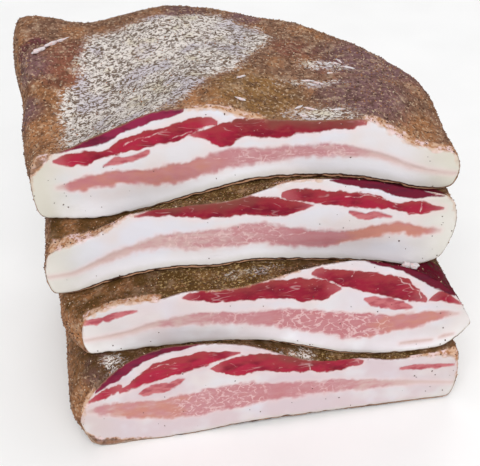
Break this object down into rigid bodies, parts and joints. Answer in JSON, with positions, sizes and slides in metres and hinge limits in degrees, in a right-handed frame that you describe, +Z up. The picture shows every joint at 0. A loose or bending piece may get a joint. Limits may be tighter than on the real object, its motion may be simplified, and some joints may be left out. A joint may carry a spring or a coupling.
{
  "type": "pancetta",
  "caption": "Flat cured pork belly cut into thick pieces, stacked in steps with the marbled cut faces to the front and a spiced crust outside.",
  "frame": {"origin": "on the ground, under the middle of the stack's bounding box", "axes": "+X to the right along the cut faces, +Y from the cut faces towards the back, +Z up"},
  "size_m": [0.2316, 0.1892, 0.1734],
  "materials": {
    "cured_belly": "satin: moist fat and lean on the cut faces, matt spiced crust on the outside"
  },
  "bodies": {
    "root": {"piece_base": "cured_belly", "piece_third": "cured_belly", "piece_second": "cured_belly", "piece_top": "cured_belly"}
  },
  "joints": []
}
